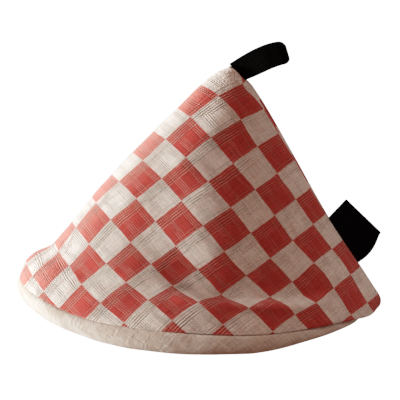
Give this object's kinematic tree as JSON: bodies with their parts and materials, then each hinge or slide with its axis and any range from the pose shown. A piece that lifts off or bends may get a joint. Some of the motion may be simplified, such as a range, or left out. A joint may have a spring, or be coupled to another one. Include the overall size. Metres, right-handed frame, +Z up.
{
  "type": "pot holder",
  "caption": "Cone-shaped padded cloth pot handle holder with a rolled hem, a hanging loop at its tip and a blank folded side tab, standing on its open mouth.",
  "frame": {"origin": "on the table, under the middle of the part's box", "axes": "+X towards the side seam and its tab, along the mouth's long way; +Y to the back, across the mouth; +Z up, from the mouth to the tip"},
  "size_m": [0.2313, 0.1452, 0.1844],
  "materials": {
    "checked_cotton": "matte",
    "cream_cotton": "matte",
    "black_tape": "matte",
    "black_ribbon": "satin"
  },
  "bodies": {
    "root": {"outer_cloth": "checked_cotton", "lining": "cream_cotton", "hanging_loop": "black_tape", "side_label": "black_ribbon"}
  },
  "joints": []
}
